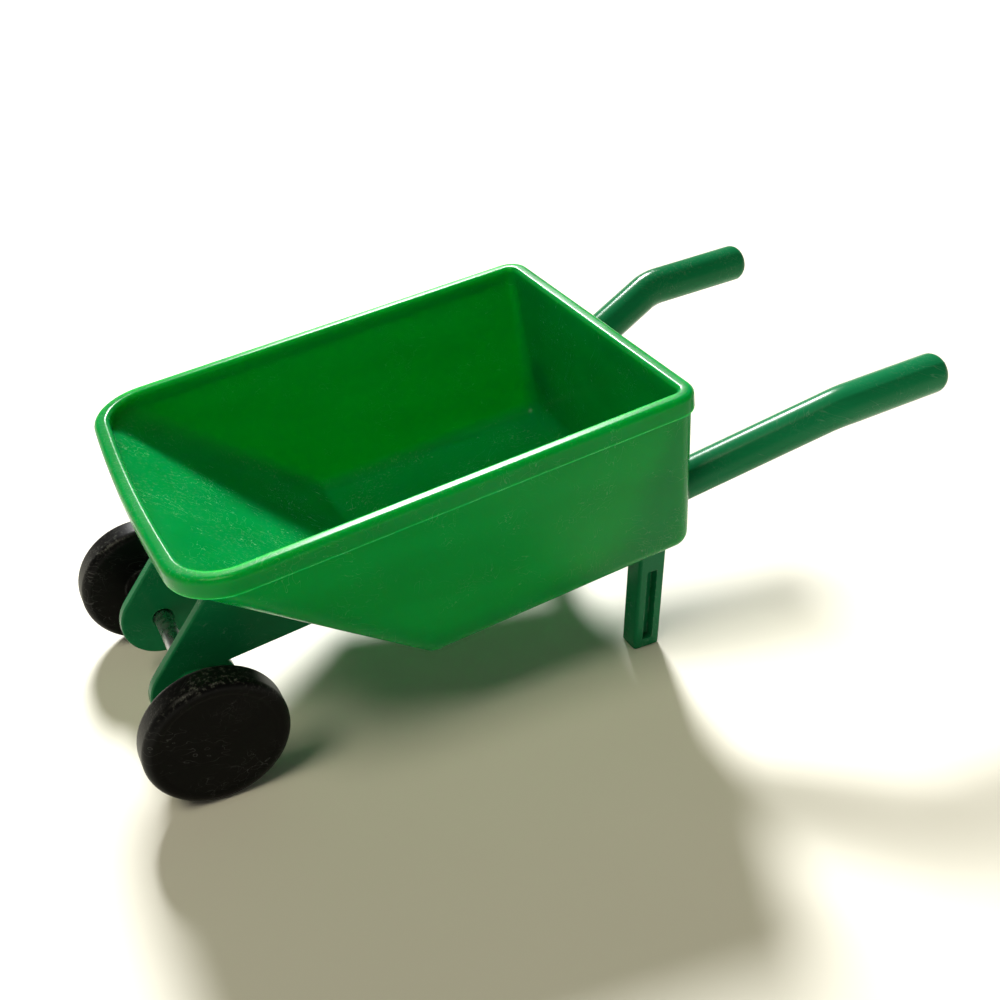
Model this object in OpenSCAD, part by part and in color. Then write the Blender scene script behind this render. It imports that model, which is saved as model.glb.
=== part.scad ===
// Toy wheelbarrow: a moulded tub on two legs and two wheels, pushed by two
// round handles.
//
// Millimetres, +Z up. +X points to the wheels, +Y to the barrow's left side,
// and the ground is z = 0. X is measured from the rear edge of the tub's rim
// while the parts are made; centred() then moves the middle of the whole
// length to x = 0.

/* [Tub] */
// Length of the rim, from the rear edge to the crown of the front edge
rim_len = 64.4; // [48:0.2:80]
// Width over the rim
rim_w = 47; // [38:0.5:58]
// Depth from the top of the rim to the underside of the floor
tub_depth = 24.4; // [18:0.1:28]
// Length of the flat floor, behind the ramp
floor_len = 36.4; // [28:0.2:42]
// Width over the side walls at the floor
floor_w = 42; // [34:0.2:46]
// Thickness of the walls, the ramp and the floor
wall = 1.6; // [1:0.1:2.2]
// Outer radius where the walls turn into the floor
floor_r = 2.4; // [2:0.1:4.5]
// Corner radius of the rim at the rear
rear_corner_r = 3; // [2.4:0.1:6]
// Corner radius of the rim at the front
front_corner_r = 7.4; // [4:0.1:9]
// How far the front edge of the rim bows forwards in the middle
front_bow = 1.1; // [0.5:0.1:3]
// How far the rim stands proud of the walls
rim_proud = 0.4; // [0.2:0.1:1]
// Depth of the rim band
rim_band = 2.6; // [1.6:0.1:4]
// Height of the rim's rear edge above the ground
rim_height = 42; // [38:0.5:52]
// Angle by which the tub tips down towards the wheels
tub_pitch = 7.8; // [4:0.1:10]

/* [Handles] */
// Diameter of the handle's shank
shank_d = 5.2; // [4:0.1:5.6]
// Diameter of the grip
grip_d = 5.4; // [4:0.1:6.4]
// Distance between the two handles where they meet the rear wall
handle_gap = 33.6; // [26:0.2:34]
// Distance down the rear wall from the rim to the middle of the handle
handle_drop = 17; // [12:0.1:18]
// Length of the sloping shank, from the wall to the bend
shank_len = 22.8; // [16:0.2:30]
// Angle at which the shank rises
shank_rise = 22.2; // [12:0.2:30]
// Angle at which the shank runs outwards
shank_splay = 14.3; // [5:0.1:18]
// Length of the grip, from the bend to the tip
grip_len = 16.9; // [12:0.1:24]
// Angle at which the grip rises
grip_rise = 5.1; // [0:0.1:10]
// Radius of the bend, along the middle of the bar
bend_r = 9; // [6:0.5:14]
// Radius of the rounded edge at the tip of the grip
tip_r = 1.5; // [0.5:0.1:1.8]

/* [Legs] */
// Distance of the leg's centre in front of the rim's rear edge
leg_x = 1; // [0.8:0.1:6]
// Distance between the middles of the two legs
leg_gap = 32; // [24:0.2:33]
// Size of a leg from front to back
leg_len = 4; // [3.4:0.1:5]
// Size of a leg from side to side
leg_w = 3.2; // [2.8:0.1:4.4]
// Width of the groove in a leg's outer face
groove_w = 1.5; // [1:0.1:2]
// Depth of that groove
groove_depth = 1.1; // [0.6:0.1:1.4]
// Height of solid leg left below the groove
groove_foot = 1.6; // [1:0.1:3]

/* [Wheels and axle] */
// Diameter of a wheel
wheel_d = 17.4; // [14:0.2:18.2]
// Width of a wheel's rim
wheel_w = 4.2; // [3:0.1:5.6]
// Radius of the rounded shoulders
shoulder_r = 1.1; // [0.6:0.1:1.5]
// Width over the outer faces of the two wheels
track_w = 38.4; // [34:0.2:44]
// Distance of the axle in front of the rim's rear edge
axle_x = 60.4; // [56:0.2:64]
// Diameter of the axle
axle_d = 2.4; // [1.8:0.1:3]
// Diameter of the boss on a wheel's inner face
hub_d = 6; // [5:0.1:8]
// Thickness of plastic over the end of the axle
hub_cap = 1.2; // [0.8:0.1:1.8]
// Play between each wheel's boss and its bracket
side_play = 0.4; // [0.3:0.05:0.8]
// Radial clearance of the axle in the brackets
axle_clear = 0.06; // [0.03:0.01:0.1]

/* [Wheel brackets] */
// Distance between the middles of the two bracket plates
bracket_gap = 16; // [12:0.2:18]
// Thickness of a bracket plate and of its flange
plate_t = 1.5; // [1.2:0.1:2]
// Radius of the plate's round end
eye_r = 5.4; // [4:0.1:5.6]
// Lean of the plate's front edge from the upright
plate_rake = 36.3; // [30:0.1:42]
// Distance from the axle back to where the plate's lower edge meets the tub
plate_heel = 24; // [22:0.2:26]
// Height above the axle at which the lower edge runs into the round end
plate_notch = 3; // [1:0.1:3.8]
// Distance that the axle's boss stands out from the plate
boss_len = 2.6; // [1:0.1:3.4]
// Width of the flange under the ramp
flange_w = 4; // [3.4:0.1:5]
// Length of the flange, along the ramp
flange_len = 13; // [11:0.5:14]

/* [Pegs] */
// Diameter of the pegs that hold the handles
handle_peg_d = 2.6; // [2:0.1:3.2]
// Length of those pegs
handle_peg_len = 6; // [4:0.5:9]
// Diameter of the pegs that hold the legs and the brackets
small_peg_d = 1.7; // [1.4:0.1:2]
// Length of the pegs that hold the legs
leg_peg_len = 3; // [2:0.1:4]
// Radial gap between a peg and its hole
peg_clear = 0.03; // [0.02:0.01:0.06]

/* [Hidden] */
$fn = 48;
eps = 0.01;
reach = 200;

tub_green = [0.0, 0.42, 0.10];
frame_green = [0.03, 0.34, 0.16];
wheel_black = [0.10, 0.10, 0.10];
steel_grey = [0.62, 0.63, 0.65];

// The rim's outline: two small rear corners, two larger front corners, and a
// front edge that is an arc tangent to them.
bow_r = (pow(rim_w / 2, 2) + pow(front_bow, 2)) / (2 * front_bow);
bow_x = rim_len - bow_r;
rear_c = [rear_corner_r, rim_w / 2 - rear_corner_r];
front_cy = rim_w / 2 - front_corner_r;
front_c = [bow_x + sqrt(pow(bow_r - front_corner_r, 2) - pow(front_cy, 2)), front_cy];
bow_angle = asin(front_cy / (bow_r - front_corner_r));

// The floor is held by a ball at each corner, which rounds its edges.
floor_rear_x = rim_proud + floor_r;
floor_front_x = rim_proud + floor_len;
floor_y = floor_w / 2 - floor_r;
floor_z = floor_r - tub_depth;

// The ramp runs from the rim band's lower front edge, tangent to the front
// balls. The inner face starts higher, so that the wall keeps its thickness.
ramp_top = [rim_len - rim_proud, -rim_band];
ramp_run = ramp_top - [floor_front_x, floor_z];
ramp_angle = atan2(ramp_run.y, ramp_run.x) + asin(floor_r / norm(ramp_run));
inner_band = rim_band - wall * (1 - sin(ramp_angle)) / cos(ramp_angle);

// Handle directions and the points that they pass through
function heading(rise, splay) =
    [-cos(rise) * cos(splay), cos(rise) * sin(splay), sin(rise)];
function unit(v) = v / norm(v);
function in_tub(x, y, z) = [x * cos(tub_pitch) + z * sin(tub_pitch), y,
                            rim_height - x * sin(tub_pitch) + z * cos(tub_pitch)];
shank_r = shank_d / 2;
grip_r = grip_d / 2;
grip_lap = 0.3;
shank_dir = heading(shank_rise, shank_splay);
grip_dir = heading(grip_rise, 0);
handle_root = in_tub(rim_proud, handle_gap / 2, -handle_drop);
bend_point = handle_root + shank_len * shank_dir;
bend_angle = acos(shank_dir * grip_dir);
bend_setback = bend_r * tan(bend_angle / 2);
grip_tip = bend_point + grip_len * grip_dir;

// Wheels and brackets
wheel_r = wheel_d / 2;
axle_r = axle_d / 2;
wheel_in_y = track_w / 2 - wheel_w;
plate_out_y = (bracket_gap + plate_t) / 2;
plate_in_y = (bracket_gap - plate_t) / 2;
hub_y = plate_out_y + boss_len + side_play;
axle_len = track_w - 2 * hub_cap;
flange_y = plate_in_y - flange_w / 2;
flange_mid = 0.56;
flange_embed = 0.6;
edge_inset = 0.15;

// Middle of the whole length, from the tip of the grips to the wheels. The
// tip's flat end leans with the grip, so its lower edge reaches furthest.
grip_end_x = grip_tip.x - (grip_r - tip_r) * sin(grip_rise) - tip_r * (1 - cos(grip_rise));
middle_x = (axle_x + wheel_r + grip_end_x) / 2;

module centred() {
    translate([-middle_x, 0, 0]) children();
}

module tub_frame() {
    translate([0, 0, rim_height]) rotate([0, tub_pitch, 0]) children();
}

// Puts the child's X, Y and Z axes along three given directions, at a point.
module set_at(p, x_dir, y_dir, z_dir) {
    multmatrix([[x_dir.x, y_dir.x, z_dir.x, p.x],
                [x_dir.y, y_dir.y, z_dir.y, p.y],
                [x_dir.z, y_dir.z, z_dir.z, p.z],
                [0, 0, 0, 1]]) children();
}

// Points the child's +Z along a direction.
module aimed(p, dir) {
    side = unit(cross([0, 1, 0], dir));
    set_at(p, side, cross(dir, side), dir) children();
}

module both_sides() {
    children();
    mirror([0, 1, 0]) children();
}

// The rim's outline, drawn in by a distance
module rim_outline(inset) {
    half = rim_w / 2 - inset;
    translate([rear_c.x, -half]) square([front_c.x - rear_c.x, 2 * half]);
    translate([inset, -rear_c.y]) square([rear_corner_r, 2 * rear_c.y]);
    for (side = [-1, 1]) {
        translate([rear_c.x, side * rear_c.y]) circle(rear_corner_r - inset);
        translate([front_c.x, side * front_c.y]) circle(front_corner_r - inset);
    }
    intersection() {
        translate([bow_x, 0]) circle(bow_r - inset, $fn = 360);
        translate([bow_x, 0]) polygon([[0, 0],
            reach * 2 * [cos(bow_angle), -sin(bow_angle)],
            reach * 2 * [cos(bow_angle), sin(bow_angle)]]);
        translate([rear_c.x, -half]) square([rim_len, 2 * half]);
    }
}

// A solid tub: the rim's outline on top, drawn down to the floor's balls
module tub_form(inset, ball_r, band, top) {
    hull() {
        translate([0, 0, -band]) linear_extrude(band + top) rim_outline(inset);
        for (x = [floor_rear_x, floor_front_x], side = [-1, 1])
            translate([x, side * floor_y, floor_z]) sphere(ball_r, $fn = 32);
    }
}

module tub_outside() {
    tub_frame() tub_form(rim_proud, floor_r, rim_band, 0);
}

// Sets the child on the underside of the ramp, with +Z pointing straight out
// of it and +X running up the ramp, at a share of the ramp's length.
module on_ramp(share, y) {
    foot = [floor_front_x, floor_z] + floor_r * [sin(ramp_angle), -cos(ramp_angle)];
    p = foot + share * (ramp_top - foot);
    tub_frame() translate([p.x, y, p.y])
        rotate([0, 180 - ramp_angle, 0]) mirror([1, 0, 0]) children();
}

function flange_pegs() = [-flange_len / 4, flange_len / 4];

module tub_pegs() {
    both_sides() {
        aimed(handle_root, shank_dir) translate([0, 0, -wall / 2])
            cylinder(d = handle_peg_d, h = wall / 2 + handle_peg_len);
        leg_peg(0);
        for (x = flange_pegs())
            on_ramp(flange_mid, flange_y) translate([x, 0, -wall / 2])
                cylinder(d = small_peg_d, h = wall / 2 + plate_t);
    }
}

// The peg under the floor, or with a clearance the hole that takes it
module leg_peg(clear) {
    top = in_tub(leg_x, 0, wall / 2 - tub_depth).z;
    under = in_tub(leg_x, 0, -tub_depth).z;
    translate([leg_x, peg_y(), under - leg_peg_len - clear])
        cylinder(d = small_peg_d + 2 * clear, h = top - under + leg_peg_len + clear);
}
function peg_y() = (leg_gap - groove_depth) / 2;

module tub() {
    color(tub_green) {
        tub_frame() difference() {
            union() {
                tub_form(rim_proud, floor_r, rim_band, 0);
                translate([0, 0, -rim_band]) linear_extrude(rim_band) rim_outline(0);
            }
            tub_form(rim_proud + wall, floor_r - wall, inner_band, rim_band);
        }
        tub_pegs();
    }
}

// The grip: a bar with a rounded far edge, made by turning its outline
module grip(len) {
    rotate_extrude() {
        square([grip_r, len - tip_r]);
        square([grip_r - tip_r, len]);
        translate([grip_r - tip_r, len - tip_r]) intersection() {
            circle(tip_r);
            square(tip_r);
        }
    }
}

// The handle is drawn in the plane of its bend: X is square to the shank, on
// the outside of the bend, and Y runs along the shank.
module handle() {
    out = unit((grip_dir * shank_dir) * shank_dir - grip_dir);
    bend_start = bend_point - bend_setback * shank_dir;
    color(frame_green) difference() {
        set_at(bend_start - bend_r * out, out, shank_dir, cross(out, shank_dir)) {
            translate([bend_r, 0, 0]) rotate([90, 0, 0])
                cylinder(r = shank_r, h = shank_len - bend_setback + shank_r);
            rotate_extrude(angle = bend_angle) translate([bend_r, 0]) circle(shank_r);
            rotate([0, 0, bend_angle]) translate([bend_r, -grip_lap, 0]) rotate([-90, 0, 0])
                grip(grip_len - bend_setback + grip_lap);
        }
        tub_outside();
        aimed(handle_root, shank_dir) translate([0, 0, -shank_r])
            cylinder(d = handle_peg_d + 2 * peg_clear, h = shank_r + handle_peg_len + peg_clear);
    }
}

module leg() {
    groove_top = in_tub(leg_x, 0, -tub_depth).z - leg_peg_len - groove_foot;
    color(frame_green) difference() {
        translate([leg_x - leg_len / 2, (leg_gap - leg_w) / 2, 0])
            cube([leg_len, leg_w, rim_height - tub_depth / 2]);
        tub_outside();
        leg_peg(peg_clear);
        translate([leg_x - groove_w / 2, (leg_gap + leg_w) / 2 - groove_depth, groove_foot])
            cube([groove_w, leg_w, groove_top - groove_foot]);
    }
}

// Side view of a bracket plate, in X and Z from the axle. Its straight edges
// end a little inside the round eye. Its top runs up inside the tub, and the
// tub's form is then cut away from it.
module plate_outline() {
    up_edge = [-sin(plate_rake), cos(plate_rake)];
    front = (eye_r - edge_inset) * [cos(plate_rake), sin(plate_rake)];
    notch = [edge_inset - sqrt(pow(eye_r, 2) - pow(plate_notch, 2)), plate_notch];
    heel = [-plate_heel, in_tub(axle_x - plate_heel, 0, -tub_depth).z - wheel_r + wall];
    circle(eye_r);
    polygon([[0, 0], front, front + plate_heel * up_edge, heel + [0, wheel_r], heel, notch]);
}

module bracket() {
    color(frame_green) difference() {
        union() {
            translate([axle_x, plate_out_y, wheel_r]) rotate([90, 0, 0])
                linear_extrude(plate_t) plate_outline();
            translate([axle_x, bracket_gap / 2, wheel_r]) rotate([-90, 0, 0])
                cylinder(d = hub_d, h = plate_t / 2 + boss_len);
            on_ramp(flange_mid, bracket_gap / 2)
                translate([-flange_len / 2, -flange_w - plate_t / 2, -flange_embed])
                    cube([flange_len, flange_w + plate_t / 2, flange_embed + plate_t]);
        }
        tub_outside();
        translate([axle_x, 0, wheel_r]) rotate([-90, 0, 0])
            cylinder(r = axle_r + axle_clear, h = track_w / 2);
        for (x = flange_pegs())
            on_ramp(flange_mid, flange_y) translate([x, 0, -wall])
                cylinder(d = small_peg_d + 2 * peg_clear, h = 2 * wall + plate_t);
    }
}

module axle() {
    color(steel_grey) translate([axle_x, -axle_len / 2, wheel_r]) rotate([-90, 0, 0])
        cylinder(r = axle_r, h = axle_len);
}

// A wheel, turned about the axle. Its outer face is closed.
module wheel() {
    color(wheel_black) translate([axle_x, hub_y, wheel_r]) rotate([-90, 0, 0])
        rotate_extrude() difference() {
            union() {
                square([hub_d / 2, wheel_in_y - hub_y + eps]);
                translate([0, wheel_in_y - hub_y]) wheel_section();
            }
            square([axle_r, axle_len / 2 - hub_y]);
        }
}

module wheel_section() {
    square([wheel_r - shoulder_r, wheel_w]);
    translate([0, shoulder_r]) square([wheel_r, wheel_w - 2 * shoulder_r]);
    for (y = [shoulder_r, wheel_w - shoulder_r])
        translate([wheel_r - shoulder_r, y]) circle(shoulder_r);
}

centred() tub();
centred() handle();  // handle_left
centred() mirror([0, 1, 0]) handle();  // handle_right
centred() leg();  // leg_left
centred() mirror([0, 1, 0]) leg();  // leg_right
centred() bracket();  // bracket_left
centred() mirror([0, 1, 0]) bracket();  // bracket_right
centred() axle();
centred() wheel();  // wheel_left
centred() mirror([0, 1, 0]) wheel();  // wheel_right
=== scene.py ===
# %% [markdown]
# # A toy wheelbarrow in moulded plastic
#
# The object is a barrow for a toy figure, about as long as a finger. A glossy
# green tub sits on two short legs and two wheel brackets, and is pushed by two
# round handles. Two solid black wheels turn together with a steel axle.
# Everything but the axle is injection moulded, so this lesson is about wall
# thickness, rounded edges, and the way that smooth plastic takes the light.
#
# The CAD frame is loaded first. It says where every part is, and each visible
# piece made here stands in for CAD nodes and rides on the same body.

# %% Load the frame
import math

import bmesh
import bpy
from mathutils import Matrix, Vector


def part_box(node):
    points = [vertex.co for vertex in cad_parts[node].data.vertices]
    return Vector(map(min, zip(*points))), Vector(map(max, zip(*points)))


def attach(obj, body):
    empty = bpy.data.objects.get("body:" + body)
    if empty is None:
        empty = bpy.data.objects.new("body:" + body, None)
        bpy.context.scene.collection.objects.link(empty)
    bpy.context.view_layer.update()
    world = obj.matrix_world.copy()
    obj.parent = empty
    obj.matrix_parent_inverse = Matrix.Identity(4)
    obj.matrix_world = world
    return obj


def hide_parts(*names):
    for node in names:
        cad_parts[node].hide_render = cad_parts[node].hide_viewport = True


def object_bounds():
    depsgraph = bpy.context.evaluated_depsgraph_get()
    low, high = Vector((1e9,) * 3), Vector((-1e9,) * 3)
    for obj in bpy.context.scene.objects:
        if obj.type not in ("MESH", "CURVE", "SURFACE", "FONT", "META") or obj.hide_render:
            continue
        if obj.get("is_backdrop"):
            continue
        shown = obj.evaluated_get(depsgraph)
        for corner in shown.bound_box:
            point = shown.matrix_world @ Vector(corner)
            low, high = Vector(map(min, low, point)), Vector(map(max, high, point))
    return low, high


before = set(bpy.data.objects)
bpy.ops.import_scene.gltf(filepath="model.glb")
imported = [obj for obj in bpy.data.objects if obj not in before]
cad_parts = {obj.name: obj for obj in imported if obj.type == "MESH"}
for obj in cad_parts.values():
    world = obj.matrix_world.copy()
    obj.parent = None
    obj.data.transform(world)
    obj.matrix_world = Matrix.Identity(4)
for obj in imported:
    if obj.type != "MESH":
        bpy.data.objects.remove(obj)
cad_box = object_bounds()

# %% [markdown]
# ## Working frame
#
# The pieces are drawn in millimetres, with x measured forwards from the rear
# edge of the tub's rim and z up from the ground, because that is how the
# barrow's own sizes are given. One matrix then carries a finished mesh into
# the frame. The wheels say where that is: the axle is a known distance in
# front of the rim, and half a wheel above the ground.

# %% Units and the place of the barrow
MM = 0.001
AXLE_AHEAD = 60.4

wheel_low, wheel_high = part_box("wheel_left")
wheel_r = (wheel_high.z - wheel_low.z) / 2 / MM
axle_z = (wheel_high.z + wheel_low.z) / 2 / MM
rear_x = (wheel_high.x + wheel_low.x) / 2 - AXLE_AHEAD * MM
TO_FRAME = Matrix.Translation((rear_x, 0, 0)) @ Matrix.Scale(MM, 4)
print(f"wheel radius {wheel_r:.2f} mm, rim's rear edge at x = {rear_x / MM:.2f} mm")

# %% [markdown]
# ## How a piece is made
#
# Most shapes here are rings of points joined by quads: round the tub, along a
# handle, about an axle. One function joins the rings, and closes the two ends
# with a flat face, or leaves them open. Rings that shrink to a point are
# welded afterwards, so a pole needs no special case.

# %% Join rings into a mesh
WELD = 0.001


def ring_mesh(rings, capped=True):
    shape = bmesh.new()
    rows = [[shape.verts.new(point) for point in ring] for ring in rings]
    count = len(rings[0])
    for low, high in zip(rows, rows[1:]):
        for i in range(count):
            j = (i + 1) % count
            shape.faces.new((low[i], low[j], high[j], high[i]))
    if capped:
        shape.faces.new(reversed(rows[0]))
        shape.faces.new(rows[-1])
    return shape


def welded(shape):
    bmesh.ops.remove_doubles(shape, verts=shape.verts, dist=WELD)
    bmesh.ops.dissolve_degenerate(shape, edges=shape.edges, dist=WELD / 2)
    bmesh.ops.recalc_face_normals(shape, faces=shape.faces)
    return shape


def added(shape, other):
    """The second shape's faces join the first as a separate shell."""
    spare = bpy.data.meshes.new("spare")
    welded(other).to_mesh(spare)
    other.free()
    shape.from_mesh(spare)
    bpy.data.meshes.remove(spare)
    return shape


# %% [markdown]
# A finished shape becomes an object, rides on its body and replaces its CAD
# node. Weighted normals keep the large flat faces flat and let the narrow
# rounded edges carry all of the turn, which is what a moulded part looks like.

# %% Turn a shape into a piece
SHARP = math.radians(42)


def piece(name, shape, material, body, nodes, mirrored=False):
    mesh = bpy.data.meshes.new(name)
    if mirrored:
        shape.transform(Matrix.Scale(-1, 4, (0, 1, 0)))
    shape.transform(TO_FRAME)
    bmesh.ops.recalc_face_normals(shape, faces=shape.faces)
    shape.to_mesh(mesh)
    shape.free()
    mesh.shade_smooth()
    mesh.set_sharp_from_angle(angle=SHARP)
    obj = bpy.data.objects.new(name, mesh)
    bpy.context.scene.collection.objects.link(obj)
    obj.data.materials.append(material)
    even = obj.modifiers.new("even normals", "WEIGHTED_NORMAL")
    even.keep_sharp = True
    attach(obj, body)
    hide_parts(*nodes)
    print(f"{name}: {len(mesh.polygons)} faces")
    return obj


# %% [markdown]
# A part with bosses, flanges and holes is easier to describe as solids that are
# fused and cut, as a mould maker does. Blender's exact boolean does this on
# millimetre meshes, before they are scaled, where its tolerances suit them.

# %% Fuse and cut solids
def solid(shape):
    mesh = bpy.data.meshes.new("solid")
    welded(shape).to_mesh(mesh)
    shape.free()
    obj = bpy.data.objects.new("solid", mesh)
    bpy.context.scene.collection.objects.link(obj)
    return obj


def combined(first, others, operation):
    target = solid(first)
    for other in others:
        tool = solid(other)
        step = target.modifiers.new(operation, "BOOLEAN")
        step.operation = operation
        step.solver = "EXACT"
        step.object = tool
        graph = bpy.context.evaluated_depsgraph_get()
        result = bpy.data.meshes.new_from_object(target.evaluated_get(graph))
        target.modifiers.clear()
        target.data = result
        bpy.data.objects.remove(tool)
    shape = bmesh.new()
    shape.from_mesh(target.data)
    bpy.data.objects.remove(target)
    return shape


# %% [markdown]
# ## Shared finishes
#
# Moulded plastic is never perfectly even. Its skin has a faint orange peel, the
# colour drifts slightly along the flow, handling leaves fine scratches, edges
# polish and pale, and dust settles on what faces up. Each of these is a shader
# group, built once, so that three plastics can share them with their own
# amounts. A small helper adds a node and wires its inputs in one line.

# %% Helpers for shader nodes
def add(tree, kind, inputs=None, **settings):
    made = tree.nodes.new(kind)
    for key, value in settings.items():
        setattr(made, key, value)
    for key, value in (inputs or {}).items():
        if isinstance(value, bpy.types.NodeSocket):
            tree.links.new(value, made.inputs[key])
        else:
            made.inputs[key].default_value = value
    return made


def maths(tree, operation, first, second=0.0, clamp=False):
    """second isn't used by an operation on one value."""
    inputs = {0: first, 1: second}
    return add(tree, "ShaderNodeMath", inputs, operation=operation, use_clamp=clamp).outputs[0]


def ramp(tree, value, low, high):
    """0 below low, 1 above high, and smooth between them."""
    inputs = {"Value": value, "From Min": low, "From Max": high}
    made = add(tree, "ShaderNodeMapRange", inputs, interpolation_type="SMOOTHSTEP")
    return made.outputs["Result"]


def noise(tree, where, size_mm, detail=2.0, roughness=0.5):
    """Noise whose features are about size_mm across."""
    inputs = {"Vector": where, "Scale": 1 / (size_mm * MM), "Detail": detail,
              "Roughness": roughness}
    return add(tree, "ShaderNodeTexNoise", inputs).outputs["Fac"]


def new_group(name, inputs, outputs):
    group = bpy.data.node_groups.new(name, "ShaderNodeTree")
    for label, value in inputs.items():
        socket = group.interface.new_socket(label, in_out="INPUT",
                                            socket_type="NodeSocketFloat")
        socket.default_value = value
    for label in outputs:
        group.interface.new_socket(label, in_out="OUTPUT", socket_type="NodeSocketFloat")
    taken = group.nodes.new("NodeGroupInput").outputs
    given = group.nodes.new("NodeGroupOutput").inputs
    return group, taken, given


def object_place(tree):
    return add(tree, "ShaderNodeTexCoord").outputs["Object"]


# %% [markdown]
# **Moulded skin.** Two scales of noise make the height: a broad, barely visible
# waviness where the wall cooled, and a fine peel copied from the mould. A third
# and broader noise, stretched along the barrow, is the drift of the colour.

# %% Group: moulded skin
WAVE_MM, PEEL_MM, DRIFT_MM = 9.0, 0.55, 13.0
DRIFT_STRETCH = (0.35, 1.0, 1.6)
DRIFT_LOW, DRIFT_HIGH = 0.3, 0.7


def moulded_skin_group():
    group, taken, given = new_group("moulded skin", {"Peel": 0.35}, ["Height", "Tone"])
    place = object_place(group)
    wave = noise(group, place, WAVE_MM, 1.0)
    peel = noise(group, place, PEEL_MM)
    fine = maths(group, "MULTIPLY", peel, taken["Peel"])
    group.links.new(maths(group, "ADD", wave, fine), given["Height"])
    stretched = add(group, "ShaderNodeMapping",
                    {"Vector": place, "Scale": DRIFT_STRETCH}).outputs[0]
    drift = noise(group, stretched, DRIFT_MM, 3.0, 0.55)
    group.links.new(ramp(group, drift, DRIFT_LOW, DRIFT_HIGH), given["Tone"])
    return group


MOULDED_SKIN = moulded_skin_group()

# %% [markdown]
# **Fine scratches.** A scratch is a long thin feature. Noise that is squeezed
# across and stretched along gives streaks, and a narrow band of its values
# gives a line down the middle of each. Three directions crossed, and broken up
# by a patchy mask, look like years in a toy box and not like a brush.

# %% Group: fine scratches
SCRATCH_LONG, SCRATCH_FINE = 7.0, 0.22
SCRATCH_BAND = 0.012
PATCH_MM, PATCH_LOW, PATCH_HIGH = 6.0, 0.5, 0.68
SCRATCH_TURNS = ((0.3, 0.2, 0.5), (1.2, 0.7, -0.6), (-0.5, 1.4, 2.1))


def scratches_group():
    group, taken, given = new_group("fine scratches", {"Amount": 0.5}, ["Mask"])
    place = object_place(group)
    total = None
    for turn in SCRATCH_TURNS:
        crossed = add(group, "ShaderNodeMapping",
                      {"Vector": place, "Rotation": turn}).outputs[0]
        squeezed = add(group, "ShaderNodeMapping",
                       {"Vector": crossed,
                        "Scale": (SCRATCH_FINE / SCRATCH_LONG, 1.0, 1.0)}).outputs[0]
        streak = noise(group, squeezed, SCRATCH_FINE * 4, 1.0)
        off = maths(group, "ABSOLUTE", maths(group, "SUBTRACT", streak, 0.5))
        line = maths(group, "SUBTRACT", 1.0, ramp(group, off, 0.0, SCRATCH_BAND))
        patch = ramp(group, noise(group, crossed, PATCH_MM), PATCH_LOW, PATCH_HIGH)
        line = maths(group, "MULTIPLY", line, patch)
        total = line if total is None else maths(group, "MAXIMUM", total, line)
    group.links.new(maths(group, "MULTIPLY", total, taken["Amount"], clamp=True),
                    given["Mask"])
    return group


SCRATCHES = scratches_group()

# %% [markdown]
# **Worn edges.** The bevel node gives the normal that a rounded edge would
# have. Where it differs from the true normal there is an edge, and noise breaks
# it up, because an edge wears where it is knocked and not all along.

# %% Group: worn edges
EDGE_SHARP, EDGE_FLAT = 0.82, 0.995
KNOCK_MM, KNOCK_LOW, KNOCK_HIGH = 1.6, 0.42, 0.66
BEVEL_SAMPLES = 6


def worn_edges_group():
    group, taken, given = new_group("worn edges", {"Width mm": 0.5, "Amount": 0.5}, ["Mask"])
    radius = maths(group, "MULTIPLY", taken["Width mm"], MM)
    soft = add(group, "ShaderNodeBevel", {"Radius": radius}, samples=BEVEL_SAMPLES).outputs[0]
    true = add(group, "ShaderNodeNewGeometry").outputs["Normal"]
    same = add(group, "ShaderNodeVectorMath", {0: soft, 1: true},
               operation="DOT_PRODUCT").outputs["Value"]
    edge = maths(group, "SUBTRACT", 1.0, ramp(group, same, EDGE_SHARP, EDGE_FLAT))
    knocks = noise(group, object_place(group), KNOCK_MM, 4.0, 0.65)
    knocks = ramp(group, knocks, KNOCK_LOW, KNOCK_HIGH)
    worn = maths(group, "MULTIPLY", edge, knocks)
    group.links.new(maths(group, "MULTIPLY", worn, taken["Amount"], clamp=True),
                    given["Mask"])
    return group


WORN_EDGES = worn_edges_group()

# %% [markdown]
# **Settled dust.** Dust lies on what faces up. The up component of the normal is
# the mask, and two sizes of noise make it gather in places.

# %% Group: settled dust
SPECK_MM, SPECK_LOW, SPECK_HIGH = 0.45, 0.5, 0.72
CLOUD_MM, CLOUD_LOW, CLOUD_HIGH = 8.0, 0.35, 0.7
UP_STEEP, UP_LEVEL = 0.15, 0.9


def dust_group():
    group, taken, given = new_group("settled dust", {"Amount": 0.3}, ["Mask"])
    normal = add(group, "ShaderNodeNewGeometry").outputs["Normal"]
    up = add(group, "ShaderNodeSeparateXYZ", {0: normal}).outputs["Z"]
    place = object_place(group)
    specks = ramp(group, noise(group, place, SPECK_MM, 3.0, 0.7), SPECK_LOW, SPECK_HIGH)
    clouds = ramp(group, noise(group, place, CLOUD_MM), CLOUD_LOW, CLOUD_HIGH)
    lying = maths(group, "MULTIPLY", ramp(group, up, UP_STEEP, UP_LEVEL), specks)
    dusty = maths(group, "MULTIPLY", lying, clouds)
    group.links.new(maths(group, "MULTIPLY", dusty, taken["Amount"], clamp=True),
                    given["Mask"])
    return group


DUST = dust_group()

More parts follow.
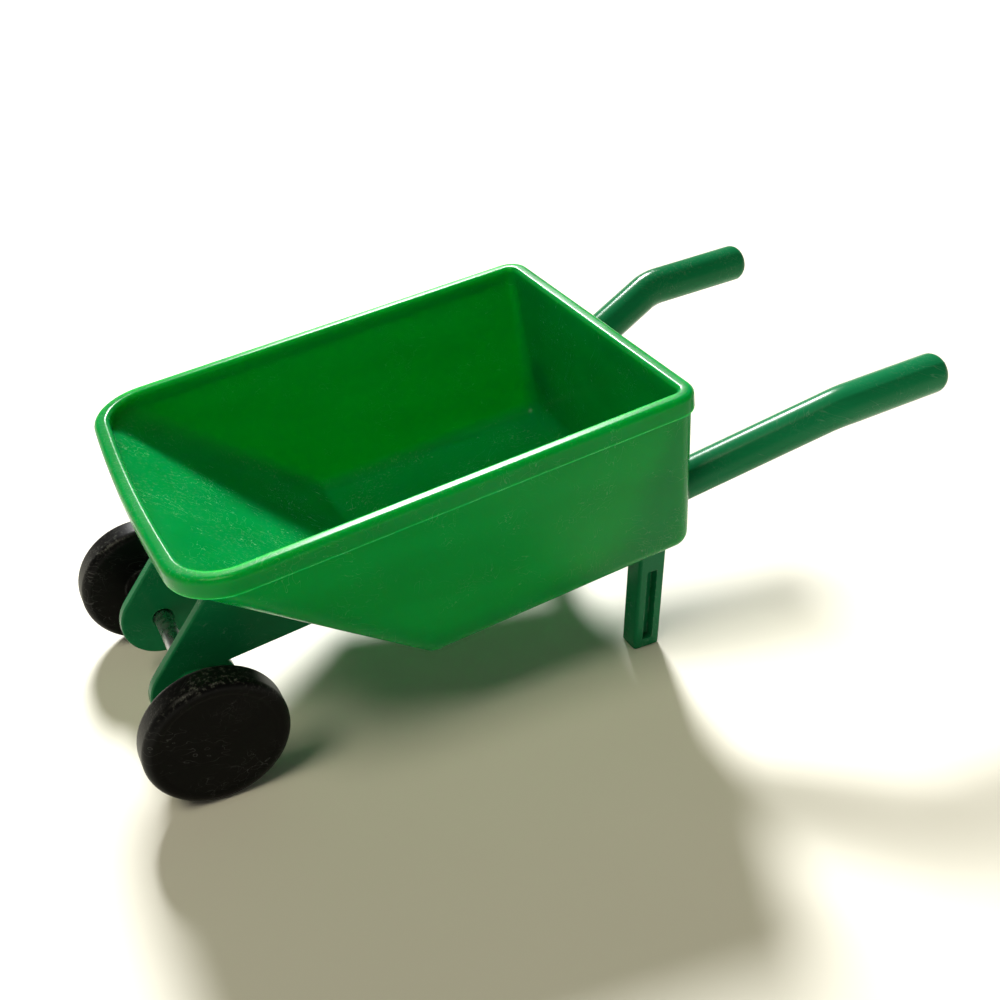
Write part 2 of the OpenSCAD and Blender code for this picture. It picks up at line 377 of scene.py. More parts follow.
# %% [markdown]
# ## The plastics
#
# One function makes all three plastics, since they are the same stuff in
# different colours and gloss. The drift of the pigment runs between two close
# colours. Scratches and worn edges pale it, because they scatter light, and
# dust greys it. All of them raise the roughness where they lie. The height of
# the skin, less the scratches, feeds one bump node.
#
# The tub's wall is thin enough for strong light to come through. Green light
# travels a few millimetres in this plastic, blue much less and red hardly at
# all, so a wall that is lit from behind glows a pure deep green. The shader's
# subsurface scattering does that, because the wall here has a real thickness.
# The thicker frame and the black wheels let nothing through.

# %% What the finishes do to a plastic
PLASTIC_IOR = 1.5
PLASTIC_SHEEN = 0.10
GLOW_REACH = (0.05, 1.0, 0.2)
GLOW_DEPTH = 5.4 * MM
BUMP_DEPTH = 0.04 * MM
DUST_GREY = (0.42, 0.42, 0.38)
SCRATCH_PALE, EDGE_PALE = 0.16, 0.3
TONE_ROUGH, SCRATCH_ROUGH, EDGE_ROUGH, DUST_ROUGH = 0.05, 0.25, 0.18, 0.5
SCRATCH_CUT = 0.35


# %% A plastic
def mixed(tree, amount, first, second):
    made = add(tree, "ShaderNodeMix", {0: amount, 6: first, 7: second}, data_type="RGBA")
    return made.outputs[2]


def plastic(name, deep, bright, gloss, scratch, wear, dust, peel, bump, glow=0.0):
    material = bpy.data.materials.new(name)
    material.use_nodes = True
    tree = material.node_tree
    shader = tree.nodes["Principled BSDF"]
    skin = add(tree, "ShaderNodeGroup", {"Peel": peel}, node_tree=MOULDED_SKIN)
    lines, edges, dusty = (
        add(tree, "ShaderNodeGroup", {"Amount": amount}, node_tree=group).outputs["Mask"]
        for group, amount in ((SCRATCHES, scratch), (WORN_EDGES, wear), (DUST, dust)))

    pale = [0.5 + 0.5 * part for part in bright]
    colour = mixed(tree, skin.outputs["Tone"], (*deep, 1), (*bright, 1))
    for mask, share in ((lines, SCRATCH_PALE), (edges, EDGE_PALE)):
        colour = mixed(tree, maths(tree, "MULTIPLY", mask, share), colour, (*pale, 1))
    colour = mixed(tree, dusty, colour, (*DUST_GREY, 1))
    tree.links.new(colour, shader.inputs["Base Color"])

    rough = gloss
    for mask, share in ((skin.outputs["Tone"], TONE_ROUGH), (lines, SCRATCH_ROUGH),
                        (edges, EDGE_ROUGH), (dusty, DUST_ROUGH)):
        more = maths(tree, "MULTIPLY", mask, share)
        rough = maths(tree, "ADD", rough, more, clamp=True)
    tree.links.new(rough, shader.inputs["Roughness"])

    cut = maths(tree, "MULTIPLY", lines, SCRATCH_CUT)
    height = maths(tree, "SUBTRACT", skin.outputs["Height"], cut)
    relief = add(tree, "ShaderNodeBump", {"Height": height, "Strength": bump,
                                          "Distance": BUMP_DEPTH})
    tree.links.new(relief.outputs[0], shader.inputs["Normal"])
    shader.inputs["IOR"].default_value = PLASTIC_IOR
    shader.inputs["Specular IOR Level"].default_value = PLASTIC_SHEEN
    shader.inputs["Subsurface Weight"].default_value = glow
    shader.inputs["Subsurface Radius"].default_value = GLOW_REACH
    shader.inputs["Subsurface Scale"].default_value = GLOW_DEPTH
    return material


# %% [markdown]
# The tub is a bright kelly green. The handles, legs and brackets are coloured a
# touch bluer and darker than the tub. The wheels are a duller
# black, and they pick up the most dust and the most scratches.

# %% Green and black plastics
TUB_GREEN = plastic(
    "tub green plastic", deep=(0.0, 0.19, 0.034), bright=(0.0, 0.22, 0.043),
    gloss=0.2, scratch=0.4, wear=0.5, dust=0.1, peel=0.3, bump=0.35, glow=1.0)
FRAME_GREEN = plastic(
    "frame green plastic", deep=(0.004, 0.14, 0.046), bright=(0.006, 0.17, 0.060),
    gloss=0.2, scratch=0.45, wear=0.5, dust=0.1, peel=0.35, bump=0.4)
WHEEL_BLACK = plastic(
    "wheel black plastic", deep=(0.002, 0.002, 0.002), bright=(0.0035, 0.0035, 0.0035),
    gloss=0.36, scratch=0.6, wear=0.6, dust=0.22, peel=0.6, bump=0.6)
print("plastics:", TUB_GREEN.name, FRAME_GREEN.name, WHEEL_BLACK.name)

# %% [markdown]
# ## The steel of the axle
#
# The axle is drawn wire, cut to length. Drawing leaves fine lines along the
# wire, so noise is stretched along y, and turning in the brackets leaves faint
# rings, so another is stretched across it. Both only move the roughness and a
# small bump. The colour changes just where a dull film has grown on the steel.

# %% Drawn steel
STEEL = (0.56, 0.57, 0.58)
STEEL_DARK = (0.36, 0.36, 0.37)
LINES_MM, LINES_STRETCH = 0.12, (1, 0.02, 1)
RINGS_MM, RINGS_STRETCH = 0.3, (0.05, 1, 0.05)
FILM_MM, FILM_LOW, FILM_HIGH = 3.0, 0.4, 0.75
FILM_DARK, FILM_ROUGH = 0.6, 0.2
STEEL_ROUGH, RINGS_HEIGHT = 0.22, 0.6
STEEL_BUMP, STEEL_BUMP_DEPTH = 0.3, 0.01 * MM


def drawn_steel():
    material = bpy.data.materials.new("drawn steel")
    material.use_nodes = True
    tree = material.node_tree
    shader = tree.nodes["Principled BSDF"]
    place = object_place(tree)
    along = add(tree, "ShaderNodeMapping", {"Vector": place, "Scale": LINES_STRETCH}).outputs[0]
    across = add(tree, "ShaderNodeMapping", {"Vector": place, "Scale": RINGS_STRETCH}).outputs[0]
    drawn = noise(tree, along, LINES_MM, 3.0)
    rubbed = noise(tree, across, RINGS_MM, 3.0)
    film = ramp(tree, noise(tree, place, FILM_MM, 4.0, 0.6), FILM_LOW, FILM_HIGH)
    dark = maths(tree, "MULTIPLY", film, FILM_DARK)
    tree.links.new(mixed(tree, dark, (*STEEL, 1), (*STEEL_DARK, 1)), shader.inputs["Base Color"])
    rough = maths(tree, "MULTIPLY", maths(tree, "ADD", drawn, rubbed), STEEL_ROUGH)
    dull = maths(tree, "MULTIPLY", film, FILM_ROUGH)
    tree.links.new(maths(tree, "ADD", rough, dull, clamp=True), shader.inputs["Roughness"])
    height = maths(tree, "ADD", drawn, maths(tree, "MULTIPLY", rubbed, RINGS_HEIGHT))
    relief = add(tree, "ShaderNodeBump", {"Height": height, "Strength": STEEL_BUMP,
                                          "Distance": STEEL_BUMP_DEPTH})
    tree.links.new(relief.outputs[0], shader.inputs["Normal"])
    shader.inputs["Metallic"].default_value = 1.0
    return material


AXLE_STEEL = drawn_steel()

# %% [markdown]
# ## The tub
#
# The tub is one moulding: an upright rear wall, two side walls that lean out a
# little, a long ramp at the front, and a rim band that stands proud all round.
# It could be a box with a bevel and a solidify, but the corners change radius
# from rim to floor, and solidify would make the wall uneven there. Instead the
# wall is drawn as a draughtsman would: from the rim's outline straight lines
# run down to touch a ball at each corner of the floor, and the ball rounds the
# wall into the floor. Drawing it twice, outside and inside, gives a real wall.
#
# First come the sizes, and the outline of the rim: half of it, from the middle
# of the rear edge round the left side to the crown of the front edge.

# %% Sizes of the tub
RIM_LEN, TUB_DEPTH, WALL = 64.4, 24.4, 1.6
FLOOR_LEN, FLOOR_W = 36.4, 42.0
REAR_CORNER_R, FRONT_CORNER_R, FRONT_BOW = 3.0, 7.4, 1.1
RIM_PROUD, RIM_BAND = 0.4, 2.6
OUTER_FLOOR_R, INNER_FLOOR_R = 2.4, 1.9
TUB_PITCH = math.radians(7.8)

tub_low, tub_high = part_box("tub")
rim_half = (tub_high.y - tub_low.y) / 2 / MM
rim_height = tub_high.z / MM
TUB_TO_BARROW = Matrix.Translation((0, 0, rim_height)) @ Matrix.Rotation(TUB_PITCH, 4, "Y")

bow_r = (rim_half ** 2 + FRONT_BOW ** 2) / (2 * FRONT_BOW)
bow_x = RIM_LEN - bow_r
rear_centre = Vector((REAR_CORNER_R, rim_half - REAR_CORNER_R))
front_y = rim_half - FRONT_CORNER_R
front_centre = Vector((bow_x + math.sqrt((bow_r - FRONT_CORNER_R) ** 2 - front_y ** 2), front_y))
bow_angle = math.asin(front_y / (bow_r - FRONT_CORNER_R))
print(f"rim {RIM_LEN} x {2 * rim_half:.1f} mm, top of the rim {rim_height:.1f} mm up")

# %% The outline of the rim, with the floor below it
ACROSS, ALONG, REAR_STEPS, FRONT_STEPS = 10, 26, 8, 12


def half_outline(inset, floor):
    """Points on the inset outline, their outward direction, and the ball below each.

    floor is the rear and front x and the half width of the balls' centres.
    """
    floor_rear, floor_front, floor_side = floor
    columns = []

    def column(point, out, ball):
        columns.append((Vector(point), Vector(out), Vector(ball)))

    for i in range(ACROSS):
        share = i / ACROSS
        column((inset, share * rear_centre.y), (-1, 0), (floor_rear, share * floor_side))
    for i in range(REAR_STEPS):
        angle = math.pi - i / REAR_STEPS * math.pi / 2
        out = Vector((math.cos(angle), math.sin(angle)))
        column(rear_centre + (REAR_CORNER_R - inset) * out, out, (floor_rear, floor_side))
    for i in range(ALONG):
        share = i / ALONG
        x = rear_centre.x + share * (front_centre.x - rear_centre.x)
        ball_x = floor_rear + share * (floor_front - floor_rear)
        column((x, rim_half - inset), (0, 1), (ball_x, floor_side))
    for i in range(FRONT_STEPS):
        angle = math.pi / 2 + i / FRONT_STEPS * (bow_angle - math.pi / 2)
        out = Vector((math.cos(angle), math.sin(angle)))
        column(front_centre + (FRONT_CORNER_R - inset) * out, out, (floor_front, floor_side))
    for i in range(ACROSS + 1):
        share = 1 - i / ACROSS
        sine = share * math.sin(bow_angle)
        out = Vector((math.sqrt(1 - sine ** 2), sine))
        column(Vector((bow_x, 0)) + (bow_r - inset) * out, out,
               (floor_front, share * floor_side))
    return columns


def flipped(pair):
    return Vector((pair.x, -pair.y))


def whole_outline(inset, floor):
    half = half_outline(inset, floor)
    other = [tuple(flipped(part) for part in column) for column in half[-2:0:-1]]
    return half + other


# %% [markdown]
# The wall under one point of the outline is a line and an arc in the upright
# plane through that point. The line leaves the rim and touches the ball, so its
# angle is the one at which a tangent meets a circle. The arc carries on round
# the ball until it points straight down, where the floor begins.

# %% Rings down the wall, and the floor
WALL_STEPS, BALL_STEPS = 7, 7


def wall_rings(inset, floor, band, ball_r, floor_z):
    drops = []
    for point, out, ball in whole_outline(inset, floor):
        run = (point - ball).dot(out)
        rise = -band - floor_z
        lean = math.atan2(rise, run) - math.acos(ball_r / math.hypot(run, rise))
        top = Vector((*point, -band))

        def on_ball(angle):
            flat = ball + ball_r * math.cos(angle) * out
            return Vector((*flat, floor_z + ball_r * math.sin(angle)))

        foot = on_ball(lean)
        drop = [top.lerp(foot, i / WALL_STEPS) for i in range(WALL_STEPS)]
        drop += [on_ball(lean + i / BALL_STEPS * (-math.pi / 2 - lean))
                 for i in range(BALL_STEPS + 1)]
        drops.append(drop)
    return [list(ring) for ring in zip(*drops)]


def floor_sheet(shape, floor, z):
    floor_rear, floor_front, floor_side = floor
    rows = []
    for i in range(ALONG + 1):
        x = floor_rear + i / ALONG * (floor_front - floor_rear)
        rows.append([shape.verts.new((x, floor_side * k / ACROSS, z))
                     for k in range(-ACROSS, ACROSS + 1)])
    for near, far in zip(rows, rows[1:]):
        for k in range(2 * ACROSS):
            shape.faces.new((near[k], near[k + 1], far[k + 1], far[k]))


# %% [markdown]
# The rim is a list of pairs, how far in and how far up, followed round the
# outline: out under the band, up its face, over the rounded top and down the
# inside. The edges of the top are rounded more than a mould needs, because
# hands and other toys have to meet them, and they are what shines. The middle
# of a small quarter round lies about 0.3 of its radius in from the corner.
#
# The fillet inside is rounder than the wall's thickness would leave it. Its balls
# are set in to suit, so that the wall keeps its thickness beside them.

# %% The tub's shell
LEDGE_R = 0.15
QUARTER_MID = 0.3
RIM_OUT_R, RIM_IN_R = 0.75, 0.6
ROUND_STEPS = 6

outer_floor = (RIM_PROUD + OUTER_FLOOR_R, RIM_PROUD + FLOOR_LEN, FLOOR_W / 2 - OUTER_FLOOR_R)
outer_z = OUTER_FLOOR_R - TUB_DEPTH
ramp_rise = -RIM_BAND - outer_z
ramp_run = RIM_LEN - RIM_PROUD - outer_floor[1]
ramp_angle = math.atan2(ramp_rise, ramp_run) + math.asin(
    OUTER_FLOOR_R / math.hypot(ramp_rise, ramp_run))
inner_band = RIM_BAND - WALL * (1 - math.sin(ramp_angle)) / math.cos(ramp_angle)


def quarter_angles():
    return [i / ROUND_STEPS * math.pi / 2 for i in range(ROUND_STEPS + 1)]


def rim_pairs():
    inside = RIM_PROUD + WALL
    middle = LEDGE_R * QUARTER_MID
    under = [(LEDGE_R, -RIM_BAND), (middle, middle - RIM_BAND), (0, LEDGE_R - RIM_BAND)]
    outer = [(RIM_OUT_R - RIM_OUT_R * math.cos(a), RIM_OUT_R * math.sin(a) - RIM_OUT_R)
             for a in quarter_angles()]
    inner = [(inside - RIM_IN_R + RIM_IN_R * math.sin(a), RIM_IN_R * math.cos(a) - RIM_IN_R)
             for a in quarter_angles()]
    return under + outer + inner


def inner_floor():
    """The inner balls' centres, set in so that each still touches its wall."""
    grow = INNER_FLOOR_R - (OUTER_FLOOR_R - WALL)
    rear, front, side = outer_floor
    lean = math.atan2(rim_half - FLOOR_W / 2, TUB_DEPTH)
    side_in = grow * (1 - math.sin(lean)) / math.cos(lean)
    front_in = grow * (1 - math.cos(ramp_angle)) / math.sin(ramp_angle)
    return (rear + grow, front - front_in, side - side_in), outer_z + grow


def tub_shell():
    outer = wall_rings(RIM_PROUD, outer_floor, RIM_BAND, OUTER_FLOOR_R, outer_z)
    rim = [[(*point, up) for point, out, ball in whole_outline(inset, outer_floor)]
           for inset, up in rim_pairs()]
    hollow, hollow_z = inner_floor()
    inner = wall_rings(RIM_PROUD + WALL, hollow, inner_band, INNER_FLOOR_R, hollow_z)
    shape = ring_mesh(outer[::-1] + rim + inner, capped=False)
    floor_sheet(shape, outer_floor, outer_z - OUTER_FLOOR_R)
    floor_sheet(shape, hollow, hollow_z - INNER_FLOOR_R)
    welded(shape).transform(TUB_TO_BARROW)
    return shape


# %% [markdown]
# ## Turned shapes
#
# Pegs, bosses, wheels and the axle are all turned: an outline of radius and
# height is spun about a line. One function does it, along any direction.

# %% Spin an outline about a line
TURN_SIDES = 48


def turned(outline, foot, direction, sides=TURN_SIDES):
    """outline is (radius, height) pairs. Height runs from foot along direction."""
    axis = Vector(direction).normalized()
    across = axis.orthogonal().normalized()
    beside = axis.cross(across)
    angles = [2 * math.pi * i / sides for i in range(sides)]
    spokes = [math.cos(a) * across + math.sin(a) * beside for a in angles]
    return ring_mesh([[Vector(foot) + height * axis + radius * spoke for spoke in spokes]
                      for radius, height in outline], capped=False)


def rounded_corner(radius, height, size, steps=4):
    """The rounded outer corner of a turned end that finishes at height."""
    return [(radius - size + size * math.cos(a), height - size + size * math.sin(a))
            for a in (i / steps * math.pi / 2 for i in range(steps + 1))]


# %% [markdown]
# The ramp carries the brackets. Pegs under it pass through the brackets'
# flanges, and are melted into low round heads. The place on the ramp is a share
# of the way up it, and the pegs stand square to it. A small disc under the
# floor is where the plastic was let into the mould.

# %% Places on the ramp, the staked pegs and the gate mark
BRACKET_GAP, PLATE_T = 16.0, 1.5
FLANGE_W, FLANGE_LEN, FLANGE_MID = 4.0, 13.0, 0.56
PEG_R, PEG_SIDES = 0.85, 32
HEAD_R, HEAD_H, HEAD_EDGE, HEAD_SINK, HEAD_STEPS = 1.35, 0.45, 0.12, 0.05, 6
GATE_R, GATE_H, GATE_EDGE = 0.8, 0.25, 0.1

TILT = TUB_TO_BARROW.to_3x3()
ramp_up = TILT @ Vector((math.cos(ramp_angle), 0, math.sin(ramp_angle)))
ramp_out = TILT @ Vector((math.sin(ramp_angle), 0, -math.cos(ramp_angle)))
ramp_top = Vector((RIM_LEN - RIM_PROUD, 0, -RIM_BAND))
ramp_foot = Vector((outer_floor[1], 0, outer_z)) + OUTER_FLOOR_R * Vector(
    (math.sin(ramp_angle), 0, -math.cos(ramp_angle)))


def on_ramp(share, up, y):
    return TUB_TO_BARROW @ ramp_foot.lerp(ramp_top, share) + up * ramp_up + Vector((0, y, 0))


def staked_peg(foot):
    under = PLATE_T - HEAD_SINK
    outline = [(0, -WALL / 2), (PEG_R, -WALL / 2), (PEG_R, under),
               (HEAD_R - HEAD_EDGE, under), (HEAD_R, PLATE_T + HEAD_EDGE)]
    for i in range(1, HEAD_STEPS + 1):
        a = i / HEAD_STEPS * math.pi / 2
        height = PLATE_T + HEAD_EDGE + (HEAD_H - HEAD_EDGE) * math.sin(a)
        outline.append((HEAD_R * math.cos(a), height))
    return turned(outline, foot, ramp_out, PEG_SIDES)


def gate_mark():
    under = TUB_TO_BARROW @ Vector(((outer_floor[0] + outer_floor[1]) / 2, 0, -TUB_DEPTH))
    outline = [(0, -WALL / 2), (GATE_R, -WALL / 2)]
    outline += rounded_corner(GATE_R, GATE_H, GATE_EDGE) + [(0, GATE_H)]
    return turned(outline, under, TILT @ Vector((0, 0, -1)), PEG_SIDES)


tub_shape = tub_shell()
flange_y = (BRACKET_GAP - PLATE_T - FLANGE_W) / 2
for side in (-1, 1):
    for up in (-FLANGE_LEN / 4, FLANGE_LEN / 4):
        added(tub_shape, staked_peg(on_ramp(FLANGE_MID, up, side * flange_y)))
added(tub_shape, gate_mark())
piece("tub_shell", tub_shape, TUB_GREEN, "barrow", ["tub"])

# %% [markdown]
# ## The handles
#
# Each handle is a round bar: a shank that rises and spreads from the rear wall,
# a bend, and a level grip with a rounded tip. A curve with a round bevel would
# do, but it couldn't be cut to the slope of the wall, nor carry the faint seam
# that the two halves of the mould leave. So the bar is swept ring by ring in
# the plane of its bend. That plane is where the mould parted, so the seam is
# one point of each ring on either side of it, lifted by a hair.

# %% Sizes and directions of a handle
SHANK_R, GRIP_R, TIP_R = 2.6, 2.7, 1.5
HANDLE_GAP, HANDLE_DROP = 33.6, 17.0
SHANK_LEN, GRIP_LEN, BEND_R = 22.8, 16.9, 9.0
SHANK_RISE, SHANK_SPLAY, GRIP_RISE = (math.radians(a) for a in (22.2, 14.3, 5.1))
SEAM = 0.05
BAR_SIDES = 48

shank_dir = Vector((-math.cos(SHANK_RISE) * math.cos(SHANK_SPLAY),
                    math.cos(SHANK_RISE) * math.sin(SHANK_SPLAY), math.sin(SHANK_RISE)))
grip_dir = Vector((-math.cos(GRIP_RISE), 0, math.sin(GRIP_RISE)))
handle_root = TUB_TO_BARROW @ Vector((RIM_PROUD, HANDLE_GAP / 2, -HANDLE_DROP))
bend_point = handle_root + SHANK_LEN * shank_dir
bend_angle = shank_dir.angle(grip_dir)
setback = BEND_R * math.tan(bend_angle / 2)
print(f"the handle turns {math.degrees(bend_angle):.1f} degrees at its bend")

# %% [markdown]
# The stations along the bar are a point, a direction and a radius. The first
# rings are slid along the bar until they lie on the wall, and flare a little,
# which is the fillet that keeps such a joint from cracking.

# %% Sweep the handle
SINK = 0.5
FLARE = ((-SINK, 0.3), (0.0, 0.3), (0.12, 0.17), (0.3, 0.07), (0.6, 0.0))
SHANK_STEPS, BEND_STEPS, GRIP_STEPS, TIP_STEPS = 6, 12, 4, 8


def handle_stations():
    inward = shank_dir.cross(grip_dir).normalized().cross(shank_dir)
    start = bend_point - setback * shank_dir
    centre = start + BEND_R * inward
    stations = [(handle_root.lerp(start, i / SHANK_STEPS), shank_dir, SHANK_R)
                for i in range(1, SHANK_STEPS)]
    for i in range(BEND_STEPS + 1):
        turn = i / BEND_STEPS * bend_angle
        direction = math.cos(turn) * shank_dir + math.sin(turn) * inward
        beside = math.cos(turn) * inward - math.sin(turn) * shank_dir
        radius = SHANK_R + i / BEND_STEPS * (GRIP_R - SHANK_R)
        stations.append((centre - BEND_R * beside, direction, radius))
    level = GRIP_LEN - setback - TIP_R
    end = stations[-1][0]
    stations += [(end + i / GRIP_STEPS * level * grip_dir, grip_dir, GRIP_R)
                 for i in range(1, GRIP_STEPS + 1)]
    for i in range(1, TIP_STEPS + 1):
        a = i / TIP_STEPS * math.pi / 2
        radius = GRIP_R - TIP_R + TIP_R * math.cos(a)
        stations.append((end + (level + TIP_R * math.sin(a)) * grip_dir, grip_dir, radius))
    return stations


def bar_ring(centre, direction, radius, seam=SEAM):
    upright = shank_dir.cross(grip_dir).normalized()
    beside = upright.cross(direction)
    ring = []
    for i in range(BAR_SIDES):
        angle = 2 * math.pi * i / BAR_SIDES
        reach = radius + (seam if i % (BAR_SIDES // 2) == 0 else 0)
        ring.append(centre + reach * (math.cos(angle) * beside + math.sin(angle) * upright))
    return ring


def handle_shape():
    wall_out = TILT @ Vector((-1, 0, 0))
    rings = []
    for lift, flare in FLARE:
        ring = bar_ring(handle_root, shank_dir, SHANK_R + flare)
        plane = handle_root + lift * wall_out
        rings.append([point + (plane - point).dot(wall_out) / shank_dir.dot(wall_out) * shank_dir
                      for point in ring])
    rings += [bar_ring(*station) for station in handle_stations()[:-1]]
    last = handle_stations()[-1]
    rings.append(bar_ring(*last, seam=0))
    return welded(ring_mesh(rings))


for name, mirrored in (("left", False), ("right", True)):
    piece(f"handle_bar_{name}", handle_shape(), FRAME_GREEN, "barrow",
          [f"handle_{name}"], mirrored)

# %% [markdown]
# ## The legs
#
# A leg is a short post with a deep groove down its outer face, which keeps thick
# plastic from sinking as it cools. It is built from level outlines, stacked
# from the foot up. The groove is a notch in the outline whose depth changes
# with height, so the post stays one clean mesh. The foot has rounded edges, and
# the head meets the tub in a small fillet.

# %% Outline and stack of a leg
LEG_X, LEG_GAP, LEG_LEN, LEG_W = 1.0, 32.0, 4.0, 3.2
GROOVE_W, GROOVE_DEPTH, GROOVE_FOOT = 1.5, 1.1, 1.6
LEG_CORNER, GROOVE_DRAFT = 0.45, 0.12
LEG_PEG_LEN = 3.0
CORNER_STEPS = 5
FOOT_ROUND = ((0.0, -0.3), (0.06, -0.14), (0.14, -0.06), (0.3, 0.0))
LEG_FILLET = ((-1.2, 0.0), (-0.7, 0.08), (-0.3, 0.3), (WALL / 2, 0.45))


def height_under_tub(x):
    """Height of the tub's flat underside at x in the barrow's frame."""
    along = (x + TUB_DEPTH * math.sin(TUB_PITCH)) / math.cos(TUB_PITCH)
    return rim_height - along * math.sin(TUB_PITCH) - TUB_DEPTH * math.cos(TUB_PITCH)


def leg_outline(z, grow, notch):
    long, wide = LEG_LEN / 2 + grow, LEG_W / 2 + grow
    corner = []
    for quarter_turn, (sx, sy) in enumerate(((1, -1), (1, 1), (-1, 1), (-1, -1))):
        middle = Vector((sx * (long - LEG_CORNER), sy * (wide - LEG_CORNER)))
        for i in range(CORNER_STEPS + 1):
            a = math.pi / 2 * (quarter_turn - 1 + i / CORNER_STEPS)
            corner.append(middle + LEG_CORNER * Vector((math.cos(a), math.sin(a))))
    half = GROOVE_W / 2
    groove = [Vector((half, wide)), Vector((half - GROOVE_DRAFT, wide - notch)),
              Vector((GROOVE_DRAFT - half, wide - notch)), Vector((-half, wide))]
    outer_side = len(corner) // 2
    outline = corner[:outer_side] + groove + corner[outer_side:]
    return [(LEG_X + p.x, LEG_GAP / 2 + p.y, z) for p in outline]


def leg_shape():
    under = height_under_tub(LEG_X)
    groove_top = under - LEG_PEG_LEN - GROOVE_FOOT
    stack = [(z, grow, 0) for z, grow in FOOT_ROUND]
    stack += [(GROOVE_FOOT - GROOVE_DRAFT, 0, 0), (GROOVE_FOOT, 0, GROOVE_DEPTH),
              (groove_top, 0, GROOVE_DEPTH), (groove_top + GROOVE_DRAFT, 0, 0)]
    stack += [(under + rise, grow, 0) for rise, grow in LEG_FILLET]
    return welded(ring_mesh([leg_outline(*level) for level in stack]))


for name, mirrored in (("left", False), ("right", True)):
    piece(f"leg_post_{name}", leg_shape(), FRAME_GREEN, "barrow",
          [f"leg_{name}"], mirrored)

# %% [markdown]
# ## The wheel brackets
#
# A bracket is a flat plate that hangs from the ramp, with a round eye at the
# bottom for the axle, a boss outside that keeps the wheel clear of it, and a
# flange along its top for the pegs. It is drawn as those three solids, fused,
# with the hole then cut through. Each solid has its own rounded edges, from
# outlines that are drawn in towards their ends.

# %% Solids with rounded edges from a flat outline
EDGE_STEPS = 4
MITRE_LIMIT = 0.35


def drawn_in(outline, inset):
    """The outline moved inwards, with each corner on its mitre. It runs anticlockwise."""
    moved = []
    for i, point in enumerate(outline):
        before = (point - outline[i - 1]).normalized()
        after = (outline[(i + 1) % len(outline)] - point).normalized()
        normal = Vector((before.y + after.y, -before.x - after.x)).normalized()
        mitre = max(MITRE_LIMIT, normal.dot(Vector((before.y, -before.x))))
        moved.append(point - inset / mitre * normal)
    return moved


def slab(outline, low, high, edge, place):
    """Extrudes a flat outline from low to high with rounded edges. place makes it solid."""
    rounding = [(edge * (1 - math.sin(a)), edge * (1 - math.cos(a)))
                for a in (i / EDGE_STEPS * math.pi / 2 for i in range(EDGE_STEPS + 1))]
    levels = [(low + lift, inset) for inset, lift in rounding]
    levels += [(high - lift, inset) for inset, lift in reversed(rounding)]
    return ring_mesh([[place(p, level) for p in drawn_in(outline, inset)]
                      for level, inset in levels])


# %% [markdown]
# The plate's outline, seen from the side, runs round the eye from the front edge
# to the notch, back along the lower edge to the heel, and up inside the ramp,
# where it can't be seen.

# %% The bracket
EYE_R, PLATE_RAKE, PLATE_HEEL, PLATE_NOTCH = 5.4, math.radians(36.3), 24.0, 3.0
AXLE_R, AXLE_CLEAR, HUB_R, BOSS_LEN = 1.2, 0.06, 3.0, 2.6
PLATE_EDGE, FLANGE_EDGE, FLANGE_CORNER, FLANGE_EMBED = 0.28, 0.3, 0.8, 0.6
BOSS_EDGE, BORE_FLARE, CUT_PAST = 0.2, 0.2, 1.0
FILLET, FILLET_SINK = 0.4, 0.02
FILLET_MID = FILLET * QUARTER_MID
HIDDEN = 0.5
EYE_STEPS = 40


def plate_outline():
    front = EYE_R * Vector((math.cos(PLATE_RAKE), math.sin(PLATE_RAKE)))
    up_edge = Vector((-math.sin(PLATE_RAKE), math.cos(PLATE_RAKE)))
    notch_angle = math.pi - math.asin(PLATE_NOTCH / EYE_R) - 2 * math.pi
    eye = [PLATE_RAKE + i / EYE_STEPS * (notch_angle - PLATE_RAKE)
           for i in range(EYE_STEPS + 1)]
    inside = on_ramp(0, 0, 0) - HIDDEN * ramp_out - Vector((AXLE_AHEAD, 0, axle_z))
    out = Vector((ramp_out.x, ramp_out.z))
    gap = Vector((inside.x, inside.z)) - front
    top = front + gap.dot(out) / up_edge.dot(out) * up_edge
    slope = ramp_up.z / ramp_up.x
    heel = Vector((-PLATE_HEEL, inside.z + slope * (-PLATE_HEEL - inside.x)))
    clockwise = [EYE_R * Vector((math.cos(a), math.sin(a))) for a in eye] + [heel, top]
    return clockwise[::-1]


def on_plate(point, level):
    return Vector((AXLE_AHEAD + point.x, level, axle_z + point.y))


def flange_solid():
    half, wide = FLANGE_LEN / 2, FLANGE_W + PLATE_T / 2
    base = on_ramp(FLANGE_MID, 0, BRACKET_GAP / 2)
    long, near, far = half - FLANGE_CORNER, -FLANGE_CORNER, FLANGE_CORNER - wide
    outline = []
    for quarter_turn, middle in enumerate(((long, near), (-long, near), (-long, far), (long, far))):
        for i in range(CORNER_STEPS + 1):
            a = math.pi / 2 * (quarter_turn + i / CORNER_STEPS)
            outline.append(Vector(middle) + FLANGE_CORNER * Vector((math.cos(a), math.sin(a))))

    def place(point, level):
        return base + point.x * ramp_up + Vector((0, point.y, 0)) + level * ramp_out

    return slab(outline, -FLANGE_EMBED, PLATE_T, FLANGE_EDGE, place)


def boss_solid():
    outer = BOSS_LEN + PLATE_T / 2
    face = PLATE_T / 2
    outline = [(0, 0), (HUB_R + FILLET, 0), (HUB_R + FILLET, face - FILLET_SINK),
               (HUB_R + FILLET_MID, face + FILLET_MID), (HUB_R, face + FILLET)]
    outline += rounded_corner(HUB_R, outer, BOSS_EDGE) + [(0, outer)]
    return turned(outline, (AXLE_AHEAD, BRACKET_GAP / 2, axle_z), (0, 1, 0))


